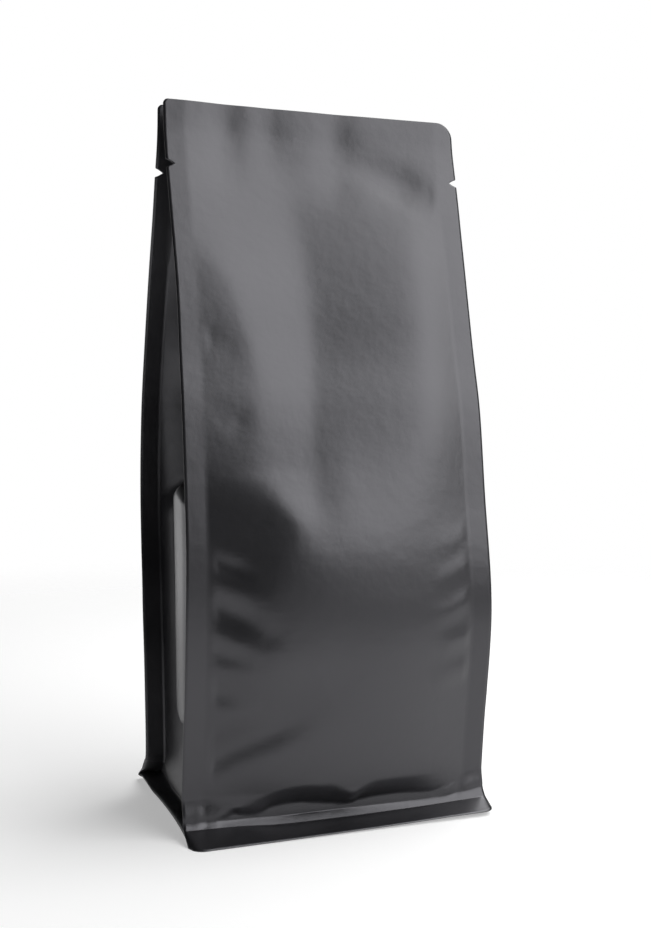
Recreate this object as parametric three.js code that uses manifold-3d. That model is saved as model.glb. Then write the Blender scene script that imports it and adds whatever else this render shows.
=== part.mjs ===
// Flat-bottom pouch of matt dark film, shut at the top and filled to a little under half its height.
// Millimetres. The origin is the centre of the base, on the surface that the pouch stands on.
// +X runs along the width of the front panel, the front panel faces -Y, and +Z is up.
import * as THREE from "three";
import { ParametricGeometry } from "three/addons/geometries/ParametricGeometry.js";
import { mergeVertices } from "three/addons/utils/BufferGeometryUtils.js";
import Module from "manifold-3d";

// Overall sizes of the standing pouch.
const WIDTH = 146;
const HEIGHT = 331;
const DEPTH = 120;

// Heat-sealed film: the fin up each corner and the seam across the top.
const FIN_WIDTH = 10;
const FILM = 0.8;
const RIGHT_TOP_CORNER_RADIUS = 8;
const LEFT_TOP_CORNER_RADIUS = 2.5;

// Side gusset: its film from seal line to seal line, and how far the filling swells it below the fold.
const GUSSET_FILM = 98;
const GUSSET_SWELL = 2.2;
const FOLD_START = 132;
const FOLD_END = 176;

// Skirt: it lies out almost flat on the surface, and rises in a bend to the upright panels.
const SKIRT_REACH = 18;
const SKIRT_BEND = 17;
const SKIRT_WAIST = 3.2;
const SKIRT_CORNER_RADIUS = 9;
const SIDE_FIN_TOP = 10;

// Underside: the base panel rests on its middle, inside a shallow groove behind the skirt's foot.
const GROOVE = [
  { inset: 32, z: 0 },
  { inset: 24, z: 1.2 },
  { inset: 14, z: 3 },
  { inset: 3, z: 0.4 },
];

// Tear notch in each side edge, through the front and the back fin.
const NOTCH_DROP = 30.5;
const NOTCH_MOUTH = 4.3;
const NOTCH_DEPTH = 3.8;

// The upright film at a few heights: half the width over the fins, and the Y of the front fins, of the
// middle of the front and back panels, and of the back fins.
const FOOT_Y = DEPTH / 2 - SKIRT_REACH - FILM / 2;
const HALF_WIDTH = WIDTH / 2;
const UPRIGHT = [
  { z: 0, halfWidth: HALF_WIDTH, frontFin: -FOOT_Y, frontPanel: -FOOT_Y, backPanel: FOOT_Y, backFin: FOOT_Y },
  { z: 11, halfWidth: HALF_WIDTH, frontFin: -41, frontPanel: -41, backPanel: 38.5, backFin: 38.5 },
  { z: 20, halfWidth: HALF_WIDTH, frontFin: -41.2, frontPanel: -46.5, backPanel: 42.5, backFin: 37 },
  { z: 43, halfWidth: HALF_WIDTH, frontFin: -44, frontPanel: -52.5, backPanel: 47.5, backFin: 38 },
  { z: 86, halfWidth: HALF_WIDTH, frontFin: -48.5, frontPanel: -58.5, backPanel: 54, backFin: 42.8 },
  { z: 134, halfWidth: 72.5, frontFin: -48.6, frontPanel: -57.5, backPanel: 58.5, backFin: 49.6 },
  { z: 182, halfWidth: 72.3, frontFin: -41.6, frontPanel: -47, backPanel: 54, backFin: 48.6 },
  { z: 236, halfWidth: 71.6, frontFin: -29.2, frontPanel: -32, backPanel: 42, backFin: 38.6 },
  { z: 278, halfWidth: 72.1, frontFin: -18.4, frontPanel: -17.8, backPanel: 19, backFin: 20.8 },
  { z: 300, halfWidth: 72.5, frontFin: -12.2, frontPanel: -10.3, backPanel: 7, backFin: 11.4 },
  { z: 318, halfWidth: 72.5, frontFin: -7.6, frontPanel: -3.6, backPanel: -2, backFin: 5.4 },
  { z: 331, halfWidth: 72.5, frontFin: -6, frontPanel: -2.9, backPanel: -2.9, backFin: 4.4 },
];

// Puckers: the panels draw in beside both seal lines where the filling stretches them.
const PUCKER_PITCH = 19;
const PUCKER_DEPTH = 1.3;
const PUCKER_REACH = 26;
const PUCKER_LOW = 45;
const PUCKER_HIGH = 165;

// Steps of the surface.
const FLANK_STEPS = 6;
const MIDDLE_STEPS = 4;
const CORNER_STEPS = 4;
const BEND_LEVELS = 10;
const FULL_STEP = 6.5;
const SLACK_STEP = 12;
const TOP_CORNER_LEVELS = 5;

const HALF_GUSSET = GUSSET_FILM / 2;
const TOP_CORNER_START = HEIGHT - RIGHT_TOP_CORNER_RADIUS;

const { lerp, smoothstep, clamp } = THREE.MathUtils;

const upright = new THREE.CubicInterpolant(
  UPRIGHT.map((row) => row.z),
  UPRIGHT.flatMap((row) => [row.halfWidth, row.frontFin, row.frontPanel, row.backPanel, row.backFin]),
  5,
);

// How much of a level belongs to the flattened top, where panels and gussets lie on each other: 0 to 1.
function flattened(z) {
  return smoothstep(z, 280, HEIGHT - 12);
}

// How far the skirt stands out from the upright fin: all of it at the foot, none above the bend.
function flare(z) {
  const rise = clamp((z - FILM) / SKIRT_BEND, 0, 1);
  return SKIRT_REACH * Math.pow(1 - rise, 4.2);
}

// How far a rounded top corner takes the fins in at a height.
function cornerCut(z, radius) {
  const above = Math.max(0, z - (HEIGHT - radius));
  return radius - Math.sqrt(Math.max(0, radius ** 2 - above ** 2));
}

// Share of the way from the fins to a panel's middle: an arch where the pouch is full, and two straight
// flanks along the folded gussets where it is flattened.
function panelShare(x, sealX, z) {
  const arch = Math.pow(1 - Math.min(1, (x / sealX) ** 2), 0.85);
  const flanks = Math.min(1, (sealX - Math.abs(x)) / HALF_GUSSET);
  return lerp(arch, flanks, flattened(z));
}

// How far the puckers draw a panel in, beside the seal lines.
function pucker(x, sealX, z) {
  const offSeal = sealX - Math.abs(x);
  const beside = smoothstep(offSeal, 0, 5) * (1 - smoothstep(offSeal, 6, PUCKER_REACH));
  const ends = smoothstep(z, PUCKER_LOW, PUCKER_LOW + 20) * (1 - smoothstep(z, PUCKER_HIGH - 30, PUCKER_HIGH));
  const wave = 0.5 - 0.5 * Math.cos((2 * Math.PI * (z - PUCKER_LOW)) / PUCKER_PITCH);
  return PUCKER_DEPTH * beside * ends * wave;
}

// X places across a panel from one seal line to the other, with one above each fully folded gusset's crease.
function panelPlaces(sealX) {
  const creaseX = sealX - HALF_GUSSET;
  const rightFlank = [];
  for (let i = 0; i <= FLANK_STEPS; i++) rightFlank.push(lerp(creaseX, sealX, i / FLANK_STEPS));
  const middle = [];
  for (let i = 1; i < MIDDLE_STEPS; i++) middle.push(lerp(-creaseX, creaseX, i / MIDDLE_STEPS));
  return [...rightFlank.map((x) => -x).reverse(), ...middle, ...rightFlank];
}

// Depth of a side fold: the film that isn't needed between the fins goes inwards as a V, and below the
// fold the filling swells the gusset outwards.
function foldDepth(z, halfGap) {
  const slack = Math.sqrt(Math.max(0, HALF_GUSSET ** 2 - halfGap ** 2));
  const folded = lerp(-GUSSET_SWELL, slack, smoothstep(z, FOLD_START, FOLD_END));
  return lerp(folded, HALF_GUSSET, flattened(z));
}

// The front half or the back half of a gusset on the right, from its fin's cut edge in to the crease.
// At the foot the level is filled out to the skirt's edge.
function halfGusset(z, edge, halfWidth, fin, crease, film, inwards) {
  const open = smoothstep(z, FILM, SIDE_FIN_TOP);
  const rear = fin + inwards * lerp(SKIRT_CORNER_RADIUS + 0.5, film / 2, open);
  const root = halfWidth - lerp(0.3, FIN_WIDTH, open);
  const depth = lerp(SKIRT_WAIST, foldDepth(z, Math.abs(crease - fin)), open);
  const folded = smoothstep(z, FOLD_START, FOLD_END);
  const points = [new THREE.Vector2(edge, rear)];
  for (let i = 0; i <= FLANK_STEPS; i++) {
    const along = i / FLANK_STEPS;
    const share = lerp(1 - (1 - along) ** 2, along, folded);
    points.push(new THREE.Vector2(root - depth * share, lerp(rear, crease, along)));
  }
  return points;
}

// The outer corner of a fin, or of the skirt, where it is rounded in plan as it lies flat.
function corner(z, edge, fin, film, inwards) {
  const flat = 1 - smoothstep(z, FILM, SIDE_FIN_TOP);
  const radius = Math.max(SKIRT_CORNER_RADIUS * flat, film / 8);
  const points = [];
  for (let i = 0; i < CORNER_STEPS; i++) {
    const angle = (i / (CORNER_STEPS - 1)) * (Math.PI / 2);
    const x = edge - radius * (1 - Math.sin(angle));
    const y = fin - inwards * (film / 2) + inwards * radius * (1 - Math.cos(angle));
    points.push(new THREE.Vector2(x, y));
  }
  return points;
}

// One level of the pouch as a closed outline, seen from above and running anticlockwise.
function outline(z, film) {
  const [halfWidth, frontFin, frontMiddle, backMiddle, backFin] = upright.evaluate(z);
  const sealX = halfWidth - FIN_WIDTH;
  const front = frontFin - flare(z);
  const back = backFin + flare(z);
  const crease = lerp((front + back) / 2, (frontMiddle + backMiddle) / 2, flattened(z));
  const places = panelPlaces(sealX);
  const frontPanel = places.map((x) => {
    const y = lerp(front, frontMiddle - flare(z), panelShare(x, sealX, z)) + pucker(x, sealX, z);
    return new THREE.Vector2(x, y - film / 2);
  });
  const backPanel = places.map((x) => {
    const y = lerp(back, backMiddle + flare(z), panelShare(x, sealX, z)) - pucker(x, sealX, z);
    return new THREE.Vector2(x, y + film / 2);
  });
  const side = (radius) => {
    const edge = halfWidth - cornerCut(z, radius);
    return [
      ...corner(z, edge, front, film, 1),
      ...halfGusset(z, edge, halfWidth, front, crease, film, 1),
      ...halfGusset(z, edge, halfWidth, back, crease, film, -1).reverse().slice(1),
      ...corner(z, edge, back, film, -1).reverse(),
    ];
  };
  const right = side(RIGHT_TOP_CORNER_RADIUS);
  const left = side(LEFT_TOP_CORNER_RADIUS).map((p) => new THREE.Vector2(-p.x, p.y)).reverse();
  return [...frontPanel, ...right, ...backPanel.reverse(), ...left];
}

// The foot's outline drawn in towards the middle of the base.
function insetFoot(inset) {
  const scaleX = 1 - inset / HALF_WIDTH;
  const scaleY = 1 - inset / (DEPTH / 2);
  return outline(0, FILM).map((p) => new THREE.Vector2(p.x * scaleX, p.y * scaleY));
}

// Heights of the levels from the foot to the top edge, closer where the film bends.
function levels() {
  const heights = [0];
  for (let i = 0; i <= BEND_LEVELS; i++) heights.push(FILM + SKIRT_BEND * (i / BEND_LEVELS) ** 1.5);
  while (heights.at(-1) + FULL_STEP < PUCKER_HIGH) heights.push(heights.at(-1) + FULL_STEP);
  const full = heights.at(-1);
  const slackLevels = Math.ceil((TOP_CORNER_START - full) / SLACK_STEP);
  for (let i = 1; i <= slackLevels; i++) heights.push(lerp(full, TOP_CORNER_START, i / slackLevels));
  for (let i = 1; i <= TOP_CORNER_LEVELS; i++) {
    const angle = (i / TOP_CORNER_LEVELS) * (Math.PI / 2);
    heights.push(TOP_CORNER_START + RIGHT_TOP_CORNER_RADIUS * Math.sin(angle));
  }
  return heights;
}

// The pouch's whole surface, from the middle of the base out to the foot and up to the top edge, where it
// closes on the middle of the film.
function pouchSurface() {
  const middleOfBase = { z: 0, points: insetFoot(0).map(() => new THREE.Vector2()) };
  const underside = GROOVE.map(({ inset, z }) => ({ z, points: insetFoot(inset) }));
  const walls = levels().map((z) => ({ z, points: outline(z, FILM) }));
  const topEdge = { z: HEIGHT, points: outline(HEIGHT, 0) };
  const rings = [middleOfBase, ...underside, ...walls, topEdge];
  const around = topEdge.points.length;
  const place = (u, v, target) => {
    const ring = rings[Math.round(v * (rings.length - 1))];
    const point = ring.points[Math.round(u * around) % around];
    target.set(point.x, point.y, ring.z);
  };
  return new ParametricGeometry(place, around, rings.length - 1);
}

// The wedge that a tear notch takes out of the right-hand edge, long enough to pass both fins.
function notchCutter() {
  const [finEdge] = upright.evaluate(HEIGHT - NOTCH_DROP);
  const outside = finEdge + 1;
  const tip = finEdge - NOTCH_DEPTH;
  const half = NOTCH_MOUTH / 2;
  const shape = new THREE.Shape();
  shape.moveTo(outside, -half);
  shape.lineTo(outside, half);
  shape.quadraticCurveTo(tip + 1.8, half * 0.85, tip, 0);
  shape.quadraticCurveTo(tip + 1.8, -half * 0.85, outside, -half);
  const wedge = new THREE.ExtrudeGeometry(shape, { depth: DEPTH, bevelEnabled: false, curveSegments: 5 });
  return wedge.rotateX(Math.PI / 2).translate(0, DEPTH / 2, HEIGHT - NOTCH_DROP);
}

const wasm = await Module();
wasm.setup();

// A closed surface as a solid that can be cut, without the empty triangles of places that coincide.
function solid(geometry) {
  const bare = geometry.clone();
  bare.deleteAttribute("normal");
  bare.deleteAttribute("uv");
  const merged = mergeVertices(bare, 1e-3);
  const corners = merged.index.array;
  const triangles = [];
  for (let i = 0; i < corners.length; i += 3) {
    const [a, b, c] = corners.subarray(i, i + 3);
    if (a !== b && b !== c && c !== a) triangles.push(a, b, c);
  }
  return new wasm.Manifold(
    new wasm.Mesh({
      numProp: 3,
      vertProperties: merged.attributes.position.array,
      triVerts: new Uint32Array(triangles),
    }),
  );
}

// A solid back as a surface that can be shown.
function surface(manifold) {
  const { vertProperties, triVerts } = manifold.getMesh();
  const geometry = new THREE.BufferGeometry();
  geometry.setAttribute("position", new THREE.BufferAttribute(vertProperties, 3));
  geometry.setIndex(new THREE.BufferAttribute(triVerts, 1));
  const faceted = geometry.toNonIndexed();
  faceted.computeVertexNormals();
  return faceted;
}

const rightNotch = solid(notchCutter());
const leftNotch = solid(notchCutter().rotateZ(Math.PI));
const body = solid(pouchSurface()).subtract(rightNotch).subtract(leftNotch);

const film = new THREE.MeshStandardMaterial({ color: 0x4b4b4f, roughness: 0.42, metalness: 0.1 });
const pouch = new THREE.Mesh(surface(body), film);
pouch.name = "pouch";

const group = new THREE.Group();
group.add(pouch);

export default group;
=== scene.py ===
"""A flat-bottom pouch of matt dark film, standing on its base, in a plain pale studio.

The pouch is five webs of heat-sealed film: a front and a back panel, a folded gusset on each side and
a base panel. Sizes are in millimetres up to the moment a mesh is made, which is in metres.
"""

from __future__ import annotations

import logging
import math
import re
from dataclasses import dataclass
from enum import Enum
from functools import cached_property, lru_cache
from typing import Sequence

import bmesh
import bpy
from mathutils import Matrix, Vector


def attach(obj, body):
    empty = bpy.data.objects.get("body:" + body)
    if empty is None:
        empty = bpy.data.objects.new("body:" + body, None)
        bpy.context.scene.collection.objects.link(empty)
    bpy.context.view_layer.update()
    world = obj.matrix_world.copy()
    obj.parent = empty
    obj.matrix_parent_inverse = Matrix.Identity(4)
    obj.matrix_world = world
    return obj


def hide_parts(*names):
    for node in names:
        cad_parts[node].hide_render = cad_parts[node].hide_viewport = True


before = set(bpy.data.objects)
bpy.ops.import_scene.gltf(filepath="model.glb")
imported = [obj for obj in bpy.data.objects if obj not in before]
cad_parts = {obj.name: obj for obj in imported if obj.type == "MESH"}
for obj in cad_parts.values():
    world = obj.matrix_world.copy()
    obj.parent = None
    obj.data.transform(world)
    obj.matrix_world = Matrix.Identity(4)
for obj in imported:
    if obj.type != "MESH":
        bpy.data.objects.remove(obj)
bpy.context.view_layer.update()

LOG = logging.getLogger("pouch")
MM = 0.001
BODY = "root"
NODE = "pouch"


# ---------------------------------------------------------------- small maths


def lerp(a: float, b: float, t: float) -> float:
    """The value a share t of the way from a to b."""
    return a + (b - a) * t


def smooth(x: float, low: float, high: float) -> float:
    """0 below low, 1 above high, and an even S-curve between them."""
    t = min(1.0, max(0.0, (x - low) / (high - low)))
    return t * t * (3.0 - 2.0 * t)


def bell(x: float) -> float:
    """A bell of height 1 and half-width about 1."""
    return math.exp(-x * x)


class Curve:
    """A smooth curve through a few (place, value) knots, level beyond its ends."""

    def __init__(self, knots: Sequence[tuple[float, float]]) -> None:
        """Store the knots and the slope at each.

        Args:
            knots: (place, value) pairs in rising order of place.
        """
        self.x = [k[0] for k in knots]
        self.y = [k[1] for k in knots]
        last = len(knots) - 1
        self.slope = []
        for i in range(last + 1):
            a, b = max(0, i - 1), min(last, i + 1)
            self.slope.append((self.y[b] - self.y[a]) / (self.x[b] - self.x[a]))

    def __call__(self, at: float) -> float:
        """The value at a place.

        Args:
            at: the place along the curve.

        Returns:
            The interpolated value.
        """
        if at <= self.x[0]:
            return self.y[0]
        if at >= self.x[-1]:
            return self.y[-1]
        i = max(j for j in range(len(self.x) - 1) if self.x[j] <= at)
        span = self.x[i + 1] - self.x[i]
        t = (at - self.x[i]) / span
        h1 = (1 + 2 * t) * (1 - t) ** 2
        h2 = t * (1 - t) ** 2 * span
        h3 = t * t * (3 - 2 * t)
        h4 = t * t * (t - 1) * span
        return h1 * self.y[i] + h2 * self.slope[i] + h3 * self.y[i + 1] + h4 * self.slope[i + 1]


# ---------------------------------------------------------------- the form of the pouch


class Face(Enum):
    """The two broad sides of the pouch, with the way that each faces along Y."""

    FRONT = -1
    BACK = 1


class Flank(Enum):
    """The two gusset sides of the pouch, with the way that each faces along X."""

    LEFT = -1
    RIGHT = 1


@dataclass(frozen=True)
class Fold:
    """A small ridge or valley that runs through a few places on a broad panel.

    A knot is (x, z, width on the left hand, width on the right hand, height), looking from the first
    knot to the last. The height is how far the fold stands out, and is negative in a valley.
    """

    knots: tuple[tuple[float, float, float, float, float], ...]

    @cached_property
    def path(self) -> list[tuple[float, ...]]:
        """The knots, with three more between each pair on a smooth line through them."""
        curves = [Curve(list(enumerate(column))) for column in zip(*self.knots)]
        return [tuple(curve(i / 4) for curve in curves) for i in range(4 * len(self.knots) - 3)]

    @cached_property
    def reach(self) -> tuple[float, float, float, float]:
        """The stretch of the panel that the fold moves.

        Returns:
            The least x, greatest x, least z and greatest z.
        """
        wide = 2.4 * max(max(knot[2:4]) for knot in self.knots)
        xs, zs = list(zip(*self.knots))[:2]
        return min(xs) - wide, max(xs) + wide, min(zs) - wide, max(zs) + wide

    def at(self, x: float, z: float) -> float:
        """How far the fold moves the film at a place on the panel.

        Args:
            x: distance across the panel, from the middle.
            z: height.

        Returns:
            The distance out, which is negative in a valley.
        """
        low_x, high_x, low_z, high_z = self.reach
        if not (low_x < x < high_x and low_z < z < high_z):
            return 0.0
        nearest, moved = math.inf, 0.0
        for (ax, az, *a), (bx, bz, *b) in zip(self.path, self.path[1:]):
            dx, dz = bx - ax, bz - az
            t = min(1.0, max(0.0, ((x - ax) * dx + (z - az) * dz) / (dx * dx + dz * dz)))
            away = math.hypot(x - ax - t * dx, z - az - t * dz)
            if away < nearest:
                nearest = away
                side = 0 if dx * (z - az) > dz * (x - ax) else 1
                moved = lerp(a[2], b[2], t) * bell(away / lerp(a[side], b[side], t))
        return moved


@dataclass(frozen=True)
class Bend:
    """A line that runs up a broad panel, which the film bends along.

    A knot is (z, x, how far the line stands out from the plane of the seals, how gently the film turns).
    """

    knots: tuple[tuple[float, float, float, float], ...]

    @cached_property
    def curves(self) -> tuple[Curve, ...]:
        """Place, distance out and gentleness, each against height."""
        return tuple(Curve([(knot[0], knot[i]) for knot in self.knots]) for i in (1, 2, 3))


@dataclass(frozen=True)
class Relief:
    """The whole shape of a broad panel between its seals: the bends from left to right, and the folds."""

    bends: tuple[Bend, ...]
    folds: tuple[Fold, ...] = ()

    @lru_cache(maxsize=4096)
    def section(self, z: float, seal: float) -> tuple[float, tuple[tuple[float, float, float], ...]]:
        """The level section at a height.

        Args:
            z: the height.
            seal: distance of the seal lines from the middle.

        Returns:
            The slope beside the left seal, and (place, change of slope, gentleness) for each bend.
        """
        lines = [tuple(curve(z) for curve in bend.curves) for bend in self.bends]
        points = [(-seal, 0.0, 0.0), *lines, (seal, 0.0, 0.0)]
        slopes = [(b[1] - a[1]) / (b[0] - a[0]) for a, b in zip(points, points[1:])]
        changes = [after - before for before, after in zip(slopes, slopes[1:])]
        turns = [(line[0], change, line[2]) for line, change in zip(lines, changes)]
        return slopes[0], tuple(turns)

    def bent(self, x: float, z: float, seal: float) -> float:
        """How far the bends put the film out, before its ends are brought to the seals.

        Args:
            x: distance across the panel, from the middle.
            z: height.
            seal: distance of the seal lines from the middle.

        Returns:
            The distance out.
        """
        slope, turns = self.section(z, seal)
        out = slope * (x + seal)
        for place, turn, radius in turns:
            out += turn * 0.5 * (x - place + math.hypot(x - place, radius))
        return out

    def out(self, x: float, z: float, seal: float) -> float:
        """How far the film stands out from the plane of its seals.

        Args:
            x: distance across the panel, from the middle.
            z: height.
            seal: distance of the seal lines from the middle.

        Returns:
            The distance, which is nothing on the seals and the fins.
        """
        if abs(x) >= seal:
            return 0.0
        ends = lerp(self.bent(-seal, z, seal), self.bent(seal, z, seal), 0.5 + 0.5 * x / seal)
        creased = sum(fold.at(x, z) for fold in self.folds)
        return self.bent(x, z, seal) - ends + creased * smooth(seal - abs(x), 0.0, 5.0)


FRONT_BENDS = (
    Bend(
        (
            (14, -34, 4.8, 12), (20, -35, 6.2, 12), (28, -38, 8.0, 13), (38, -41, 9.3, 13),
            (48, -42, 9.8, 14), (62, -42, 9.4, 13), (80, -43, 10.0, 12), (90, -42, 9.9, 12),
            (105, -38, 9.8, 11), (120, -30, 10.2, 9), (135, -24, 9.4, 6), (146, -29, 7.8, 7),
            (152, -33, 6.2, 8), (157, -36, 4.6, 8), (162, -39, 2.9, 8), (170, -39, 1.9, 6),
            (185, -38, 1.4, 5), (200, -37, 1.5, 5), (213, -38, 1.8, 5), (225, -41, 1.4, 5),
            (240, -45, 1.0, 5), (250, -49, 0.7, 5), (262, -54, 0.0, 6), (280, -50, -1.2, 8),
            (300, -46, -1.9, 12), (318, -44, -1.5, 12), (331, -44, -1.0, 14),
        )
    ),
    Bend(
        (
            (14, -12, 8.2, 20), (22, -12, 9.9, 20), (30, -12, 10.7, 20), (60, -12, 11.7, 20),
            (80, -12, 12.4, 18), (100, -12, 12.2, 16), (120, -13, 11.0, 10), (130, -14, 9.8, 6),
            (140, -15, 7.8, 4), (150, -15, 5.3, 3), (165, -14, 2.2, 3.5), (180, -13, 0.4, 3.5),
            (200, -11.5, -1.4, 4), (220, -10, -2.6, 5), (240, -10, -3.6, 5.5), (260, -11, -4.6, 6),
            (280, -13, -5.0, 8), (300, -12, -4.4, 10), (312, -10, -3.2, 12), (322, -8, -2.2, 14),
            (331, -6, -1.8, 16),
        )
    ),
    Bend(
        (
            (14, 30, 7.2, 20), (22, 30, 8.4, 20), (30, 30, 9.0, 20), (60, 30, 10.1, 20),
            (80, 28, 11.6, 20), (90, 27, 11.6, 20), (100, 27, 11.0, 20), (110, 28, 10.3, 20),
            (120, 30, 10.0, 20), (130, 32, 9.8, 20), (140, 36, 9.4, 19), (150, 39, 8.9, 17),
            (160, 41, 8.1, 14), (170, 43, 7.3, 11), (180, 44, 6.6, 9), (200, 45, 5.6, 8),
            (220, 46, 4.8, 7), (240, 46, 4.2, 7), (260, 46, 3.3, 7), (280, 46, 1.5, 8),
            (300, 45, -0.9, 12), (318, 44, -0.9, 12), (331, 44, -0.8, 14),
        )
    ),
)
FRONT_FOLDS = (
    # beside the foot of the long valley
    Fold(((1, 138, 9, 10, 0.2), (0, 150, 10, 11, 0.35), (-2, 168, 10, 10, 0.2))),
    # gathers along the left seal, from the top down
    Fold(((-63, 221, 6, 6, -0.3), (-50, 217, 7, 7, -0.2))),
    Fold(((-58, 187, 5, 5, -0.1), (-48, 183, 6, 6, -0.3))),
    Fold(((-64, 124, 5, 5, -0.6), (-52, 119, 5, 5, -1.1), (-42, 115, 5, 5, -0.3))),
    Fold(((-64, 106, 6.5, 7.5, -0.9), (-52, 99, 7, 7.5, -1.9), (-40, 91, 7, 7, -0.8))),
    Fold(((-64, 85, 5, 6, -1.0), (-54, 81, 5, 6, -1.3), (-44, 78, 5, 5, -0.3))),
    Fold(((-64, 69, 6, 7, -1.2), (-54, 65, 7, 8, -2.0), (-42, 62, 7, 7, -0.8))),
    Fold(
        (
            (-62, 33, 9, 7.5, -2.2), (-52, 40, 10, 8.5, -3.6), (-40, 46, 11, 9.5, -3.8),
            (-27, 53, 12, 10, -3.2), (-10, 62, 13, 11, -0.9),
        )
    ),
    # gathers along the right seal
    Fold(((64, 132, 5, 5, 0.3), (50, 128, 6, 6, 0.3), (42, 126, 6, 6, 0.1))),
    Fold(((64, 118, 5, 5, 0.4), (50, 113, 5, 5, 0.45), (40, 109, 6, 6, 0.1))),
    Fold(((64, 102, 5, 5, 0.6), (50, 97, 5, 5, 0.65), (38, 92, 6, 6, 0.1))),
    Fold(((64, 84, 5, 5, 0.9), (52, 82, 5, 5, 1.0), (42, 80, 6, 6, 0.2))),
    Fold(((64, 69, 5, 5, 1.2), (50, 67, 6, 6, 1.0), (40, 65, 6, 6, 0.2))),
    # upright furrows under the top seal
    Fold(
        (
            (-43, 334, 9, 9, -0.6), (-43, 318, 9, 9, -0.9), (-43, 302, 10, 10, -0.7),
            (-41, 288, 10, 10, -0.1),
        )
    ),
    Fold(((-22, 334, 8, 8, -0.4), (-22, 318, 8, 8, -0.6), (-21, 302, 9, 9, -0.3), (-20, 292, 9, 9, 0))),
    Fold(((12, 334, 9, 9, -0.4), (12, 318, 9, 9, -0.8), (11, 300, 10, 10, -0.9), (9, 282, 10, 10, -0.1))),
    # the slack below them, down to the right seal
    Fold(
        (
            (14, 312, 10, 10, -0.3), (30, 302, 11, 11, -1.5), (43, 296, 11, 11, -2.0),
            (54, 291, 9, 10, -0.9), (60, 288, 8, 9, 0),
        )
    ),
)
BACK_BENDS = (
    Bend(
        (
            (14, -40, 4.0, 16), (22, -40, 6.2, 16), (30, -40, 7.6, 16), (60, -40, 8.8, 16),
            (90, -41, 9.2, 15), (120, -42, 8.6, 14), (150, -43, 7.0, 12), (180, -44, 5.4, 9),
            (215, -45, 4.4, 8), (250, -46, 2.6, 8), (280, -44, -0.6, 10), (300, -44, -2.6, 12),
            (331, -44, -4.0, 14),
        )
    ),
    Bend(
        (
            (14, 6, 5.4, 24), (22, 6, 8.0, 24), (30, 6, 9.8, 24), (60, 6, 11.0, 24),
            (90, 7, 11.2, 20), (120, 8, 9.8, 14), (150, 9, 7.2, 9), (180, 9, 4.0, 7),
            (215, 8, 1.6, 7), (250, 6, -0.8, 8), (280, 4, -3.6, 10), (300, 2, -6.0, 12),
            (331, 0, -7.5, 14),
        )
    ),
    Bend(
        (
            (14, 42, 4.0, 16), (22, 42, 6.2, 16), (30, 42, 7.6, 16), (60, 42, 8.8, 16),
            (90, 42, 9.4, 15), (120, 42, 9.0, 14), (150, 41, 7.6, 12), (180, 41, 6.2, 10),
            (215, 42, 5.0, 9), (250, 43, 3.0, 9), (280, 44, -0.4, 10), (300, 44, -2.6, 12),
            (331, 44, -4.0, 14),
        )
    ),
)
BACK_FOLDS = (
    Fold(((-64, 128, 5, 5, -0.9), (-52, 122, 5, 5, -1.0), (-42, 117, 6, 6, -0.2))),
    Fold(((-64, 104, 6, 6, -1.0), (-50, 99, 6, 6, -1.2), (-38, 95, 7, 7, -0.3))),
    Fold(((-64, 78, 5, 5, -0.9), (-52, 76, 6, 6, -0.9), (-44, 75, 6, 6, -0.2))),
    Fold(((64, 138, 5, 5, -0.8), (52, 131, 5, 5, -0.9), (42, 127, 6, 6, -0.2))),
    Fold(((64, 112, 6, 6, -1.0), (50, 105, 6, 6, -1.3), (38, 98, 7, 7, -0.3))),
    Fold(((64, 84, 5, 5, -0.9), (52, 81, 6, 6, -1.0), (42, 79, 6, 6, -0.2))),
    Fold(((20, 136, 9, 9, 0.5), (24, 152, 10, 10, 0.9), (26, 172, 10, 10, 0.3))),
    Fold(((-54, 38, 8, 8, 1.4), (-36, 42, 9, 9, 1.8), (-14, 50, 10, 10, 0.6))),
    Fold(((55, 34, 8, 8, 1.2), (38, 44, 9, 9, 1.5), (20, 56, 10, 10, 0.4))),
)


@dataclass(frozen=True)
class Skirt:
    """The lowest part of a broad panel, as curves against the distance across it.

    From its cut edge, at the foot, the film runs flat to the crease, bends up to the waist and goes on
    as an upright wall. The full pouch hangs over the wall: the film leaves it at tuck_low and reaches
    the belly at tuck_top. Distances out are from the middle of the base.
    """

    foot_out: Curve
    foot_z: Curve
    crease_out: Curve
    crease_z: Curve
    waist_out: Curve
    waist_z: Curve
    tuck_low: Curve
    tuck_top: Curve
    corner_radii: tuple[float, float]
    crumple: tuple[Fold, ...] = ()


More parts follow.
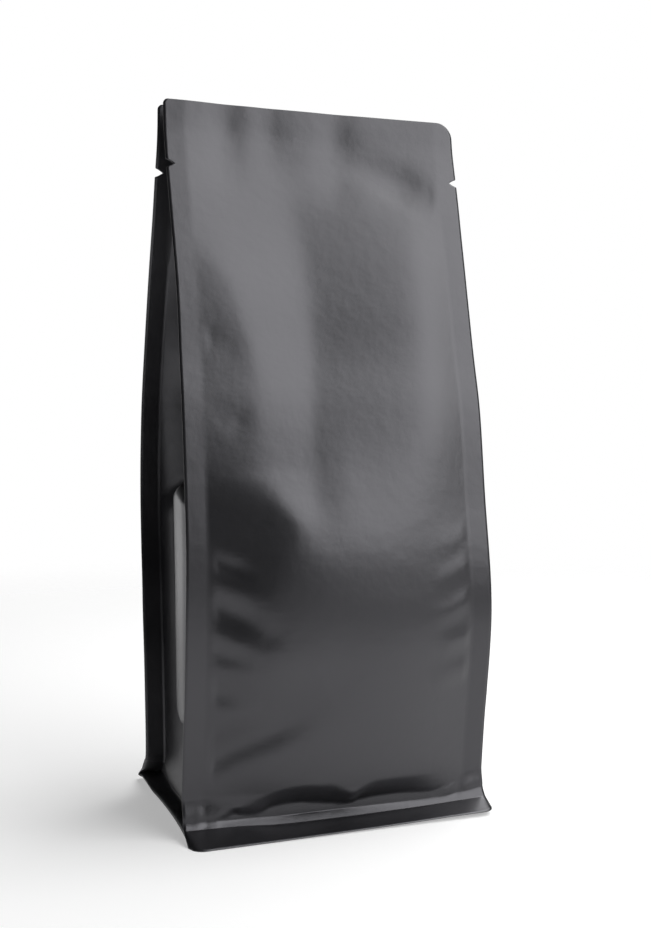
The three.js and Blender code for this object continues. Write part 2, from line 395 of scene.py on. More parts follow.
# in front the skirt is flat on the floor on the left, and lifts towards its right corner
FRONT_SKIRT = Skirt(
    foot_out=Curve([(-73, 59.8), (73, 56.8)]),
    foot_z=Curve([(-66, 0.25), (-20, 0.7), (20, 1.2), (50, 1.9), (66, 2.1), (73, 2.5)]),
    crease_out=Curve([(-73, 44.6), (40, 44.6), (73, 45.2)]),
    crease_z=Curve(
        [(-73, 4.6), (-48, 4.1), (-29, 2.9), (0, 2.9), (20, 3.3), (40, 3.9), (60, 4.8), (73, 5.5)]
    ),
    waist_out=Curve(
        [
            (-73, 43.0), (-50, 42.4), (-30, 41.8), (0, 41.6), (25, 42.1), (50, 42.9), (62, 42.6),
            (73, 42.2),
        ]
    ),
    waist_z=Curve(
        [(-73, 8.2), (-47, 6.6), (-19, 5.6), (0, 6.0), (20, 6.4), (50, 7.4), (62, 8.4), (73, 10.0)]
    ),
    tuck_low=Curve(
        [
            (-60, 6.4), (-54, 7.4), (-50, 9.6), (-46, 8.8), (-38, 8.6), (-33, 10.6), (-27, 11.3),
            (-19, 11.5), (-8, 10.2), (5, 8.9), (11, 10.2), (30, 10.8), (46, 10.0), (53, 11.6),
            (60, 14.6),
        ]
    ),
    tuck_top=Curve(
        [
            (-60, 21.0), (-55, 18.0), (-50, 14.0), (-44, 15.6), (-37, 17.8), (-30, 20.0), (-23, 21.6),
            (-6, 21.0), (1, 17.8), (5, 16.2), (9, 18.0), (15, 20.4), (28, 20.8), (40, 19.8),
            (51, 18.6), (57, 18.2), (62, 17.6),
        ]
    ),
    corner_radii=(7.0, 6.0),
    crumple=(
        Fold(((-66.5, 5, 0.9, 0.9, 0.2), (-66, 13, 0.9, 0.9, 0.1))),
        Fold(((-62.5, 4.6, 0.8, 0.8, -0.3), (-62.6, 14, 0.8, 0.8, -0.25))),
        Fold(((-58, 5, 1.2, 1.2, 0.25), (-57, 11, 1.2, 1.2, 0.1))),
        Fold(((53, 9, 2.2, 2.2, 0.2), (57, 12, 2, 1.6, 0.45), (60, 16, 2, 2, 0.1))),
        Fold(((58.5, 8, 1.6, 1.4, -0.25), (61, 11, 1.6, 1.4, -0.4), (63, 15, 2, 2, -0.1))),
        Fold(((62, 7, 2, 2, 0.1), (66, 11, 2.4, 2.4, 0.2), (68, 16, 2.4, 2.4, 0.1))),
    ),
)
# behind, its left corner is lifted
BACK_SKIRT = Skirt(
    foot_out=Curve([(-73, 59.0), (73, 59.4)]),
    foot_z=Curve([(-73, 3.0), (-62, 1.6), (-45, 0.6), (-20, 0.25)]),
    crease_out=Curve([(-73, 47.0), (-50, 44.6), (73, 44.0)]),
    crease_z=Curve([(-73, 8.4), (-60, 6.2), (-30, 3.6), (73, 2.8)]),
    waist_out=Curve([(-73, 38.6), (0, 39.0), (73, 38.6)]),
    waist_z=Curve([(-73, 15.0), (-50, 10.0), (73, 9.0)]),
    tuck_low=Curve([(-60, 12.0), (-20, 11.5), (10, 12.5), (60, 11.0)]),
    tuck_top=Curve(
        [(-62, 12.4), (-50, 18.0), (-25, 21.0), (-6, 18.0), (14, 21.5), (40, 20.0), (62, 12.0)]
    ),
    corner_radii=(2.5, 7.0),
)


@dataclass(frozen=True)
class PouchForm:
    """The sizes of the pouch and the places of its film, in millimetres."""

    height: float = 331.0
    fin: float = 10.0
    film: float = 0.19
    top_radii: tuple[float, float] = (2.5, 8.0)
    skirt_film: float = 14.0
    waist_film: float = 22.0
    bend_film: float = 31.0
    bend_top: float = 18.0
    gusset_film: float = 100.0
    notch_drop: float = 30.5
    notch_half_mouth: float = 1.9
    notch_depth: float = 3.7
    closing: tuple[float, float] = (284.0, 318.0)
    layers_at_crease: float = 4.2
    front_skirt: Skirt = FRONT_SKIRT
    back_skirt: Skirt = BACK_SKIRT
    half_width: Curve = Curve(
        [
            (0, 73.0), (90, 73.0), (130, 72.5), (182, 72.3), (238, 71.5), (278, 72.1), (300, 72.5),
            (331, 72.5),
        ]
    )
    front_fin: Curve = Curve(
        [
            (11, -40.6), (20, -41.2), (43, -44.0), (62, -47.0), (86, -48.9), (106, -49.5), (124, -48.9),
            (141, -47.3), (171, -43.4), (192, -39.7), (214, -33.9), (236, -29.2), (254, -24.8),
            (273, -19.6), (287, -15.9), (300, -12.2), (309, -9.7), (318, -7.6), (331, -6.0),
        ]
    )
    back_fin: Curve = Curve(
        [
            (11, 39.0), (20, 37.0), (43, 38.0), (69, 40.2), (86, 42.6), (104, 44.8), (122, 48.2),
            (140, 50.2), (159, 50.4), (177, 49.2), (195, 47.4), (212, 44.4), (236, 38.6), (254, 32.0),
            (278, 20.8), (300, 11.4), (311, 7.0), (320, 5.2), (331, 4.6),
        ]
    )
    front_sway: Curve = Curve([(60, 0.0), (95, 1.6), (150, -1.6), (215, 0.0)])
    front: Relief = Relief(FRONT_BENDS, FRONT_FOLDS)
    back: Relief = Relief(BACK_BENDS, BACK_FOLDS)

    def fins(self, face: Face) -> Curve:
        """Where the fins of a face stand, as Y against height."""
        return self.front_fin if face is Face.FRONT else self.back_fin

    def closed(self, z: float) -> float:
        """How much of a height belongs to the flattened top: 0 to 1."""
        return smooth(z, *self.closing)

    def seal_x(self, z: float) -> float:
        """The distance of the upright seal lines from the middle."""
        return self.half_width(z) - self.fin

    def notch(self, z: float) -> float:
        """How far a tear notch cuts in from the side edge at a height."""
        away = abs(z - (self.height - self.notch_drop)) / self.notch_half_mouth
        return self.notch_depth * (1.0 - away) ** 0.75 if away < 1.0 else 0.0

    def corner_cut(self, z: float, on_right: bool) -> float:
        """How far a rounded top corner takes the side edge in.

        Args:
            z: height.
            on_right: which corner, looking at the front.

        Returns:
            The distance in from the side edge.
        """
        radius = self.top_radii[on_right]
        above = min(radius, max(0.0, z - (self.height - radius)))
        return radius - math.sqrt(radius**2 - above**2)

    def skirt(self, face: Face) -> Skirt:
        """The skirt of a face."""
        return self.front_skirt if face is Face.FRONT else self.back_skirt

    def profile(self, x: float, h: float, face: Face) -> tuple[float, float]:
        """The upright section through a fin and the skirt below it.

        Args:
            x: distance across the film, from the middle.
            h: distance up the film, from the skirt's cut edge.
            face: which broad side.

        Returns:
            How far out the film is from the middle of the base, and its height.
        """
        skirt, fin = self.skirt(face), self.fins(face)
        way = face.value
        if h >= self.bend_film:
            z = self.bend_top + h - self.bend_film
            return way * fin(z), z
        radius = skirt.corner_radii[x > 0]
        into_corner = max(0.0, abs(x) - (self.half_width(0) - radius))
        round_off = radius - math.sqrt(max(0.0, radius**2 - into_corner**2))
        crease = (skirt.crease_out(x), skirt.crease_z(x))
        waist = (skirt.waist_out(x), skirt.waist_z(x))
        if h <= self.skirt_film:
            t = h / self.skirt_film
            foot = (skirt.foot_out(x) - round_off, skirt.foot_z(x))
            return lerp(foot[0], crease[0], t), lerp(foot[1], crease[1], t)
        if h <= self.waist_film:
            t = (h - self.skirt_film) / (self.waist_film - self.skirt_film)
            knee = (waist[0] + 0.2, crease[1] + 0.95 * (crease[0] - waist[0]))
            out = lerp(lerp(crease[0], knee[0], t), lerp(knee[0], waist[0], t), t)
            return out, lerp(lerp(crease[1], knee[1], t), lerp(knee[1], waist[1], t), t)
        t = (h - self.waist_film) / (self.bend_film - self.waist_film)
        return lerp(waist[0], way * fin(self.bend_top), smooth(t, 0, 1)), lerp(waist[1], self.bend_top, t)

    def hang(self, x: float, z: float, face: Face) -> float:
        """How far the full pouch stands out from its fins, and hangs over the skirt.

        Args:
            x: distance from the middle.
            z: height.
            face: which broad side.

        Returns:
            The distance out from the plane of the fins.
        """
        skirt = self.skirt(face)
        relief = self.front if face is Face.FRONT else self.back
        top = skirt.tuck_top(x)
        low = min(skirt.tuck_low(x), top - 3.0)
        risen = min(1.0, max(0.0, (z - low) / (top - low)))
        return relief.out(x, z, self.seal_x(z)) * math.sin(math.pi / 2 * risen)

    def swayed(self, x: float, z: float, face: Face) -> float:
        """How far a face leans out at its right seal, which fades to nothing at its left.

        Args:
            x: distance from the middle.
            z: height.
            face: which broad side.

        Returns:
            The distance out.
        """
        if face is Face.BACK:
            return 0.0
        return self.front_sway(z) * smooth(x, -10.0, self.seal_x(z))

    def place(self, x: float, h: float, face: Face) -> Vector:
        """Where the seal plane of a broad panel is.

        Args:
            x: distance across the film, from the middle.
            h: distance up the film, from the skirt's cut edge.
            face: which broad side.

        Returns:
            The place, in millimetres.
        """
        out, z = self.profile(x, h, face)
        spread = x * self.half_width(z) / self.half_width(0)
        if h > self.skirt_film:
            out += sum(fold.at(x, z) for fold in self.skirt(face).crumple) * smooth(h, 14, 16)
        if h > self.waist_film:
            begun = smooth(h, self.waist_film, self.waist_film + 2)
            out += (self.hang(spread, z, face) + self.swayed(spread, z, face)) * begun
        y = face.value * out
        closed = self.closed(z)
        if face is Face.BACK and closed > 0:
            y = lerp(y, self.place(x, h, Face.FRONT).y + self.top_gap(spread, z), closed)
        return Vector((spread, y, z))

    def top_gap(self, x: float, z: float) -> float:
        """How far apart the panels are in the flattened top, with the folded gussets between them.

        Args:
            x: distance from the middle.
            z: height.

        Returns:
            The gap along Y.
        """
        seal = self.seal_x(z)
        crease = seal - self.gusset_film / 2
        fins = (self.back_fin(z) - self.front_fin(z)) * smooth(abs(x), crease, seal)
        return fins + self.layers_at_crease * self.film * smooth(abs(x), crease - 9, crease - 1)


# ---------------------------------------------------------------- finishes


class Value:
    """A shader socket that ordinary arithmetic adds nodes to."""

    def __init__(self, tree: bpy.types.NodeTree, socket: bpy.types.NodeSocket) -> None:
        """Wrap a socket of a node tree."""
        self.tree, self.socket = tree, socket

    def _math(self, operation: str, *inputs: Value | float) -> Value:
        """Add a Math node.

        Args:
            operation: the node's operation.
            inputs: its inputs, as values or numbers.

        Returns:
            The node's result.
        """
        node = self.tree.nodes.new("ShaderNodeMath")
        node.operation = operation
        for slot, given in zip(node.inputs, inputs):
            if isinstance(given, Value):
                self.tree.links.new(given.socket, slot)
            else:
                slot.default_value = given
        return Value(self.tree, node.outputs[0])

    def __add__(self, other: Value | float) -> Value:
        """This value plus another."""
        return self._math("ADD", self, other)

    def __sub__(self, other: Value | float) -> Value:
        """This value less another."""
        return self._math("SUBTRACT", self, other)

    def __rsub__(self, other: float) -> Value:
        """A number less this value."""
        return self._math("SUBTRACT", other, self)

    def __mul__(self, other: Value | float) -> Value:
        """This value times another."""
        return self._math("MULTIPLY", self, other)

    __radd__ = __add__
    __rmul__ = __mul__


class Nodes:
    """A node tree, and the one method that adds nodes to it."""

    def __init__(self, tree: bpy.types.NodeTree) -> None:
        """Empty the tree.

        Args:
            tree: the node tree of a material or a world.
        """
        self.tree = tree
        self.tree.nodes.clear()

    def node(self, kind: str, settings: dict | None = None, out: str | int = 0, **inputs) -> Value:
        """Add a node.

        Args:
            kind: the node's type.
            settings: attributes that are set before its sockets, and a ramp's stops.
            out: the output that is wanted.
            inputs: values or numbers for its sockets, with _ for each space in a socket's name, or
                with at and a number for a socket that is known by its place.

        Returns:
            The wanted output, or nothing from a node that has none.
        """
        node = self.tree.nodes.new(kind)
        for key, given in (settings or {}).items():
            if key == "stops":
                for element, (at, colour) in zip(node.color_ramp.elements, given):
                    element.position, element.color = at, colour
            else:
                setattr(node, key, given)
        for key, given in inputs.items():
            place = int(key[2:]) if re.fullmatch(r"at\d+", key) else key.replace("_", " ")
            self.feed(node.inputs[place], given)
        return Value(self.tree, node.outputs[out] if node.outputs else None)

    def noise(self, place: Value, scale: float, detail: float) -> Value:
        """Soft random spots, a number to the metre, between 0 and 1."""
        return self.node("ShaderNodeTexNoise", Vector=place, Scale=scale, Detail=detail)

    def ramp(self, value: Value, low: float, high: float) -> Value:
        """0 below low, 1 above high, and an even S-curve between them."""
        settings = {"interpolation_type": "SMOOTHSTEP"}
        return self.node("ShaderNodeMapRange", settings, Value=value, From_Min=low, From_Max=high)

    def feed(self, socket: bpy.types.NodeSocket, given: Value | float | Sequence[float]) -> None:
        """Link a value to a socket, or set a constant on it.

        Args:
            socket: the input socket.
            given: the value, number, colour or vector for it.
        """
        if isinstance(given, Value):
            self.tree.links.new(given.socket, socket)
        else:
            socket.default_value = given


class Finish(Nodes):
    """A material with one Principled shader."""

    def __init__(self, name: str) -> None:
        """Start the material.

        Args:
            name: the material's name.
        """
        self.material = bpy.data.materials.new(name)
        self.material.use_nodes = True
        super().__init__(self.material.node_tree)
        self.shader = self.node("ShaderNodeBsdfPrincipled").socket.node
        self.node("ShaderNodeOutputMaterial", Surface=Value(self.tree, self.shader.outputs["BSDF"]))

    def set(self, **inputs) -> None:
        """Feed sockets of the Principled shader, with _ for each space in a socket's name."""
        for key, given in inputs.items():
            self.feed(self.shader.inputs[key.replace("_", " ")], given)


@dataclass(frozen=True)
class MattFilm:
    """Matt dark laminated film: almost black, with a broad satin sheen and a fine grain."""

    colour: tuple[float, float, float] = (0.010, 0.010, 0.0112)
    colour_spread: float = 0.08
    roughness: float = 0.36
    cloud_roughness: float = 0.05
    grain_roughness: float = 0.04
    specular: float = 0.8
    cloud_per_metre: float = 22.0
    grain_per_metre: float = 2600.0
    grain_height: float = 0.00006
    dimple_per_metre: float = 170.0
    dimple_height: float = 0.00025
    tint: tuple[float, float, float] = (0.95, 0.94, 1.0)

    def build(self) -> bpy.types.Material:
        """Make the material.

        Returns:
            The material.
        """
        finish = Finish("matt_film")
        place = finish.node("ShaderNodeTexCoord", out="Object")
        cloud = finish.noise(place, self.cloud_per_metre, detail=3.0)
        grain = finish.noise(place, self.grain_per_metre, detail=2.0)
        dimple = finish.noise(place, self.dimple_per_metre, detail=3.0)
        dimpled = finish.node(
            "ShaderNodeBump", out="Normal", Height=dimple, Strength=0.5, Distance=self.dimple_height
        )
        bump = finish.node(
            "ShaderNodeBump",
            out="Normal",
            Height=grain,
            Strength=0.35,
            Distance=self.grain_height,
            Normal=dimpled,
        )
        colour = finish.node(
            "ShaderNodeMix",
            settings={"data_type": "RGBA"},
            out=2,
            at0=cloud,
            at6=(*((1.0 - self.colour_spread) * c for c in self.colour), 1.0),
            at7=(*((1.0 + self.colour_spread) * c for c in self.colour), 1.0),
        )
        mottling = (cloud - 0.5) * self.cloud_roughness + (grain - 0.5) * self.grain_roughness
        finish.set(
            Base_Color=colour,
            Roughness=mottling + self.roughness,
            Normal=bump,
            Specular_IOR_Level=self.specular,
            Specular_Tint=(*self.tint, 1.0),
        )
        return finish.material


@dataclass(frozen=True)
class CutEdge:
    """The cut edge of the film, where its paler core shows."""

    colour: tuple[float, float, float] = (0.13, 0.13, 0.135)
    roughness: float = 0.5
    specks_per_metre: float = 900.0

    def build(self) -> bpy.types.Material:
        """Make the material.

        Returns:
            The material.
        """
        finish = Finish("cut_edge")
        place = finish.node("ShaderNodeTexCoord", out="Object")
        speck = finish.noise(place, self.specks_per_metre, detail=2.0)
        ramp = finish.node(
            "ShaderNodeValToRGB",
            settings={
                "stops": [
                    (0.35, (*(0.5 * c for c in self.colour), 1.0)),
                    (0.7, (*self.colour, 1.0)),
                ]
            },
            Fac=speck,
        )
        finish.set(Base_Color=ramp, Roughness=self.roughness)
        return finish.material


# ---------------------------------------------------------------- the webs of film


@dataclass
class Web:
    """One web of film: a fine grid bent to its form, then given the film's thickness."""

    form: PouchForm
    name: str
    finish: bpy.types.Material
    edge: bpy.types.Material

    def columns(self) -> list[float]:
        """Places of the grid's columns across the film."""
        raise NotImplementedError

    def rows(self) -> list[float]:
        """Places of the grid's rows along the film."""
        raise NotImplementedError

    def place(self, across: float, along: float) -> Vector:
        """Where a place of the film is, in millimetres."""
        raise NotImplementedError

    def build(self) -> bpy.types.Object:
        """Make the web, dress it and hand it to the frame.

        Returns:
            The web's object.
        """
        columns, rows = self.columns(), self.rows()
        mesh = bmesh.new()
        bmesh.ops.create_grid(mesh, x_segments=len(columns) - 1, y_segments=len(rows) - 1, size=1.0)
        for vertex in mesh.verts:
            i = round((vertex.co.x + 1) / 2 * (len(columns) - 1))
            j = round((vertex.co.y + 1) / 2 * (len(rows) - 1))
            vertex.co = self.place(columns[i], rows[j]) * MM
        for face in mesh.faces:
            face.smooth = True
        data = bpy.data.meshes.new(self.name)
        mesh.to_mesh(data)
        mesh.free()
        piece = bpy.data.objects.new(self.name, data)
        bpy.context.scene.collection.objects.link(piece)
        data.materials.append(self.finish)
        data.materials.append(self.edge)
        skin = piece.modifiers.new("film", "SOLIDIFY")
        skin.thickness = self.form.film * MM
        skin.offset = 1.0
        skin.material_offset_rim = 1
        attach(piece, BODY)
        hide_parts(NODE)
        return piece


def steps(*stretches: tuple[float, float, float]) -> list[float]:
    """Places along a line, in stretches that follow on from each other.

    Args:
        stretches: (start, end, step) for each stretch.

    Returns:
        The places, each end shared with the next start.
    """
    places: list[float] = []
    for start, end, step in stretches:
        count = max(1, round(abs(end - start) / step))
        first = 1 if places else 0
        places += [lerp(start, end, i / count) for i in range(first, count + 1)]
    return places


def film_rows(form: PouchForm) -> list[float]:
    """Rows up the film, closer at the skirt's bend, the notches and the rounded top corners.

    Args:
        form: the pouch.

    Returns:
        Distances up the film from the skirt's cut edge.
    """
    base = form.bend_film - form.bend_top
    notch = form.height - form.notch_drop + base
    left, right = form.top_radii
    corner = form.height - right + base
    rows = steps(
        (0, form.skirt_film - 0.5, 1.3),
        (form.skirt_film - 0.5, form.skirt_film + 0.5, 0.34),
        (form.skirt_film + 0.5, 40, 0.72),
        (40, 150, 1.2),
        (150, notch - 3, 1.6),
        (notch - 3, notch + 3, 0.38),
        (notch + 3, corner, 1.6),
    )
    turns = 12
    rise = [i / turns * math.pi / 2 for i in range(1, turns + 1)]
    rows += [corner + right * math.sin(angle) for angle in rise]
    rows += [form.height - left + base + left * math.sin(angle) for angle in rise[:-1]]
    return sorted(rows)


@dataclass
class Panel(Web):
    """A broad panel, front or back, with half of each fin and its part of the skirt."""

    face: Face = Face.FRONT

    def columns(self) -> list[float]:
        """Columns from one cut edge to the other, as shares: whole numbers are the seal lines."""
        return steps((-2, -1, 0.14), (-1, 1, 0.018), (1, 2, 0.14))

    def rows(self) -> list[float]:
        """Rows from the skirt's cut edge to the top."""
        return film_rows(self.form)

    def place(self, across: float, along: float) -> Vector:
        """Where a place of the panel is, in millimetres."""
        x = film_x(self.form, across * -self.face.value, along)
        return self.form.place(x, along, self.face)


def film_x(form: PouchForm, share: float, along: float) -> float:
    """Distance across a panel's film for a share of it.

    Args:
        form: the pouch.
        share: -1 to 1 between the seal lines, and up to 2 at the cut edge of a fin.
        along: distance up the film.

    Returns:
        The distance from the middle, in millimetres.
    """
    seal = form.half_width(0) - form.fin
    if abs(share) <= 1:
        return share * seal
    z = along - form.bend_film + form.bend_top
    cut = form.notch(z) + form.corner_cut(z, share > 0)
    return math.copysign(seal + (abs(share) - 1) * (form.fin - cut), share)


@dataclass
class Gusset(Web):
    """A side gusset: two halves that meet at its crease, and a strip sealed behind each fin."""

    flank: Flank = Flank.LEFT
    corner_strip: float = 0.4
    fold_peak: float = 151.0
    fold_peak_y: float = 4.0
    fold_fall: float = 0.34
    fold_rise: float = 13.0
    valley: float = 0.38
    valley_depth: float = 3.2
    valley_end: tuple[float, float] = (195.0, 222.0)
    foot_valley: float = 0.9
    foot_depth: float = 6.0
    between_panels: float = 262.0
    swell: Curve = Curve(
        [(0, -3.0), (14, -0.9), (22, -1.8), (31, -1.2), (45, 0.6), (62, 1.8), (85, 2.2), (151, 2.2)]
    )
    wall_z: Curve = Curve([(0, 0.25), (14, 3.6), (22, 9.0), (31, 18.0)])

    def columns(self) -> list[float]:
        """Columns from the front fin's cut edge to the back fin's.

        Returns:
            Shares of the way from the crease, where 1 is a seal line and 2 a cut edge.
        """
        half = ((0, 0.82, 0.03), (0.82, 1, 0.012), (1, 2, 0.14))
        mirrored = [(-end, -start, step) for start, end, step in reversed(half)]
        return steps(*mirrored, *half)

    def rows(self) -> list[float]:
        """Rows from the foot to the top."""
        return film_rows(self.form)

    def depth(self, t: float, y: float, z: float, along: float, half_gap: float) -> float:
        """How far the film lies in from its seal lines.

        Args:
            t: share of the way from the seal line to the crease.
            y: place along Y.
            z: height.
            along: distance up the film.
            half_gap: half the distance between the seal lines.

        Returns:
            The depth, which is negative where the film swells out.
        """
        half_film = self.form.gusset_film / 2
        slack = math.sqrt(max(0.0, half_film**2 - half_gap**2))
        fold = self.fold_peak - self.fold_fall * abs(y - self.fold_peak_y)
        folded = smooth(z, fold - 1.0, fold + self.fold_rise)
        upright = smooth(along, 24, 50)
        swell = -self.swell(along) * lerp(1 - (1 - t) ** 2.2, smooth(t, 0.3, 1.0), upright)
        valley = self.valley_shape(t, z) * smooth(along, 18, 38)
        return lerp(lerp(swell, slack * t, folded), half_film * t, self.form.closed(z)) + valley

    def valley_shape(self, t: float, z: float) -> float:
        """How deep the valley between a fin and the swollen middle is.

        Args:
            t: share of the way from the seal line to the crease.
            z: height.

        Returns:
            The depth.
        """
        middle = lerp(self.foot_valley, self.valley, smooth(z, 36, 48))
        shape = t / middle if t < middle else max(0.0, 1.0 - (t - middle) / 0.45)
        depth = lerp(self.foot_depth, self.valley_depth, smooth(z, 34, 50))
        return shape * depth * (1 - smooth(z, *self.valley_end))

    def place(self, across: float, along: float) -> Vector:
        """Where a place of the gusset is.

        Args:
            across: share of the way from the crease to a seal line, and up to 2 at a fin's cut edge.
            along: distance up the film from the skirt's cut edge.

        Returns:
            The place, in millimetres.
        """
        form, way = self.form, self.flank.value
        share = across * way
        opened = smooth(along, 0.0, form.skirt_film)
        strip = lerp(self.corner_strip, form.fin, opened)
        seal = form.half_width(0) - strip
        upright = along - form.bend_film + form.bend_top
        face = Face.FRONT if share < 0 else Face.BACK
        if abs(share) > 1:
            cut = form.notch(upright) + form.corner_cut(upright, way > 0)
            return form.place(way * (seal + (abs(share) - 1) * (strip - cut)), along, face)
        front = form.place(way * seal, along, Face.FRONT)
        back = form.place(way * seal, along, Face.BACK)
        root = front if share < 0 else back
        z = upright if along >= form.bend_film else self.wall_z(along)
        t = 1 - abs(share)
        y = lerp(root.y, (front.y + back.y) / 2, t)
        x = abs(root.x) - self.depth(t, y, z, along, (back.y - front.y) / 2)
        # near the top the folded film stays between the panels
        if upright > self.between_panels:
            spread = way * x * form.half_width(0) / form.half_width(upright)
            ahead, behind = (form.place(spread, along, side).y for side in Face)
            y = lerp(y, ahead if face is Face.FRONT else behind, form.closed(upright))
            y = min(max(y, ahead + form.film), max(behind, ahead + 2 * form.film) - form.film)
        # the height goes over from the lifted skirt's to the gusset's own
        late = 1.0 - smooth(along, form.skirt_film - 2.0, form.waist_film)
        rise = smooth(t, 0.06 * late, 0.12 + 0.38 * late)
        return Vector((way * x, y, lerp(root.z, z, rise)))


@dataclass
class BasePanel(Web):
    """The base: sealed under the skirt all round, and resting on its middle."""

    band: float = 12.0
    half_depth: float = 46.0
    side_bulge: float = 2.6
    bulge_inset: float = 9.0
    clearance: float = 0.2

    def columns(self) -> list[float]:
        """Columns from left to right, as shares."""
        return steps((-1, -0.8, 0.02), (-0.8, 0.8, 0.04), (0.8, 1, 0.02))

    def rows(self) -> list[float]:
        """Rows from the front foot to the back foot: whole numbers are the inner edges of the skirt."""
        return steps((-2, -1, 0.1), (-1, 1, 0.04), (1, 2, 0.1))

    def place(self, across: float, along: float) -> Vector:
        """Where a place of the base is.

        Args:
            across: share of the way from the middle to a side.
            along: share of the way from the middle to the skirt, and up to 2 at its cut edge.

        Returns:
            The place, in millimetres.
        """
        form = self.form
        across = -across
        half = form.half_width(0)
        from_side = (1 - abs(across)) * half
        if abs(along) >= 1:
            face = Face.FRONT if along < 0 else Face.BACK
            point = form.place(across * half, (2 - abs(along)) * self.band, face)
            inner, outer = point.y, form.place(across * half, 0, face)
        else:
            front = form.place(across * half, self.band, Face.FRONT)
            back = form.place(across * half, self.band, Face.BACK)
            inner = lerp(front.y, back.y, (along + 1) / 2)
            outer = form.place(across * half, 0, Face.FRONT if inner < 0 else Face.BACK)
            edge_z = front.z if along < 0 else back.z
            from_skirt = (1 - abs(along)) * self.half_depth
            lifted = edge_z * (1 - smooth(from_skirt, 0, 14))
            bulge = bell((from_side - self.bulge_inset) / 5) * smooth(from_skirt, 4, 24)
            lifted += self.side_bulge * bulge
            point = Vector((across * half, inner, lifted))
        # the side edges follow the foot of the gussets
        t = 1 - abs(inner / outer.y)
        foot = lerp(outer.z, 0.25, smooth(t, 0.06, 0.5)) - 0.1
        waist = half - 0.5 - 3.0 * (1 - (1 - t) ** 2.2)
        x = across * lerp(half, waist, smooth(t, 0, 0.1))
        z = lerp(foot, point.z - 0.4 * smooth(t, 0, 0.1), smooth(from_side, 0, 9.5))
        return Vector((x, inner, max(self.clearance, z)))


# ---------------------------------------------------------------- the studio


@dataclass(frozen=True)
class Softbox:
    """A soft light at a bearing round the pouch and a height above the horizon, in degrees.

    A bearing of 0 is in front, and 90 is to the right.
    """

    name: str
    bearing: float
    rise: float
    distance: float
    width: float
    height: float
    power: float

    def build(self, aim: Vector) -> bpy.types.Object:
        """Make the light.

        Args:
            aim: the point that it faces, in metres.

        Returns:
            The light.
        """
        light = bpy.data.lights.new(self.name, "AREA")
        light.shape = "RECTANGLE"
        light.size, light.size_y = self.width, self.height
        light.energy = self.power
        piece = bpy.data.objects.new(self.name, light)
        bpy.context.scene.collection.objects.link(piece)
        bearing, rise = math.radians(self.bearing), math.radians(self.rise)
        towards = Vector(
            (math.sin(bearing) * math.cos(rise), -math.cos(bearing) * math.cos(rise), math.sin(rise))
        )
        piece.location = aim + towards * self.distance
        piece.rotation_euler = (-towards).to_track_quat("-Z", "Y").to_euler()
        piece.visible_camera = False
        return piece


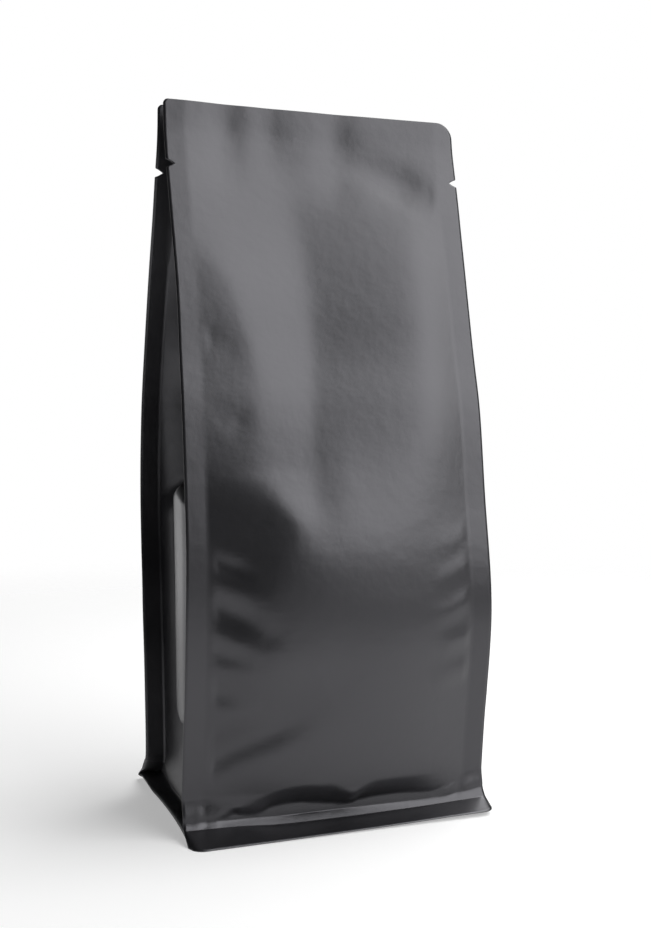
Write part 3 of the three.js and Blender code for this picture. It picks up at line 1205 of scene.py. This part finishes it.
@dataclass(frozen=True)
class Studio:
    """A pale floor, a pale surround, soft lights and the camera."""

    camera_place: tuple[float, float, float] = (-0.1948, -0.5645, 0.1813)
    camera_turn: float = -19.82
    camera_dip: float = 1.771
    lens: float = 47.73
    sensor: float = 36.0
    light_aim: tuple[float, float, float] = (0.0, 0.0, 0.16)
    floor_fade: tuple[float, float] = (0.35, 1.1)
    floor_front: tuple[float, float] = (0.51, 0.81)
    floor_grey: float = 0.6
    floor_glow: float = 0.4
    pale: float = 1.0
    dim: float = 0.016
    horizon: float = 0.7
    beneath: float = 1.6
    softboxes: tuple[Softbox, ...] = (
        Softbox("key", bearing=41.5, rise=33, distance=1.3, width=1.3, height=1.4, power=20),
        Softbox("side", bearing=115, rise=62, distance=1.4, width=1.2, height=1.2, power=22),
    )

    def build(self) -> None:
        """Make the studio."""
        self.floor()
        self.world()
        self.camera()
        for softbox in self.softboxes:
            softbox.build(Vector(self.light_aim))

    def floor(self) -> bpy.types.Object:
        """Make the floor, which melts into the surround away from the pouch and ends in front of it.

        Returns:
            The floor.
        """
        mesh = bmesh.new()
        bmesh.ops.create_grid(mesh, x_segments=1, y_segments=1, size=self.floor_fade[1])
        data = bpy.data.meshes.new("floor")
        mesh.to_mesh(data)
        mesh.free()
        floor = bpy.data.objects.new("floor", data)
        bpy.context.scene.collection.objects.link(floor)
        finish = Finish("pale_floor")
        place = finish.node("ShaderNodeTexCoord", out="Object")
        length = {"operation": "LENGTH"}
        away = finish.node("ShaderNodeVectorMath", settings=length, out="Value", Vector=place)
        near, far = self.floor_fade
        cover = 1.0 - finish.ramp(away, near, far)
        ahead = finish.node("ShaderNodeSeparateXYZ", out="Y", Vector=place)
        near, far = self.floor_front
        reach = finish.ramp(ahead, -far, -near)
        finish.set(
            Base_Color=(self.floor_grey, self.floor_grey, self.floor_grey, 1.0),
            Roughness=0.9,
            Specular_IOR_Level=0.0,
            Emission_Color=(1.0, 1.0, 1.0, 1.0),
            Emission_Strength=self.floor_glow,
            Alpha=cover * reach,
        )
        data.materials.append(finish.material)
        return floor

    def world(self) -> None:
        """Make the surround.

        It is pale only where the camera sees it directly. What lights the pouch and is mirrored in its
        film is a glow low down behind it, a glow from beneath the horizon, and dim elsewhere.
        """
        world = bpy.data.worlds.new("studio")
        bpy.context.scene.world = world
        world.use_nodes = True
        nodes = Nodes(world.node_tree)
        way = nodes.node("ShaderNodeTexCoord", out="Generated")
        split = nodes.node("ShaderNodeSeparateXYZ", Vector=way).socket.node
        x, y, z = (Value(nodes.tree, split.outputs[i]) for i in range(3))
        low = 1.0 - nodes.ramp(z, 0.15, 0.65)
        above = nodes.ramp(z, -0.05, 0.0)
        behind = nodes.ramp(y, 0.84, 0.985) * low * above
        beneath = nodes.ramp(y, -0.3, 0.1) * (1.0 - above)
        glow = behind * self.horizon + beneath * self.beneath + self.dim
        seen = nodes.node("ShaderNodeLightPath", out="Is Camera Ray")
        strength = seen * self.pale + (1.0 - seen) * glow
        surround = nodes.node("ShaderNodeBackground", Color=(1.0, 1.0, 1.0, 1.0), Strength=strength)
        nodes.node("ShaderNodeOutputWorld", Surface=surround)

    def camera(self) -> None:
        """Make the camera at the viewing place."""
        lens = bpy.data.cameras.new("camera")
        lens.lens, lens.sensor_width = self.lens, self.sensor
        lens.clip_start, lens.clip_end = 0.01, 50.0
        camera = bpy.data.objects.new("camera", lens)
        camera.location = self.camera_place
        camera.rotation_euler = (
            math.radians(90 - self.camera_dip),
            0.0,
            math.radians(self.camera_turn),
        )
        bpy.context.scene.collection.objects.link(camera)
        bpy.context.scene.camera = camera


# ---------------------------------------------------------------- the pouch


def main() -> None:
    """Build the studio and the pouch, and report each piece."""
    logging.basicConfig(level=logging.INFO, format="%(name)s: %(message)s")
    bpy.context.scene.view_settings.view_transform = "Standard"
    Studio().build()
    form = PouchForm()
    film, edge = MattFilm().build(), CutEdge().build()
    webs: list[Web] = [
        Panel(form, "front_panel", film, edge, Face.FRONT),
        Panel(form, "back_panel", film, edge, Face.BACK),
        Gusset(form, "left_gusset", film, edge, Flank.LEFT),
        Gusset(form, "right_gusset", film, edge, Flank.RIGHT),
        BasePanel(form, "base_panel", film, edge),
    ]
    for web in webs:
        piece = web.build()
        LOG.info("%s: %d faces", piece.name, len(piece.data.polygons))


if __name__ == "__main__":
    main()
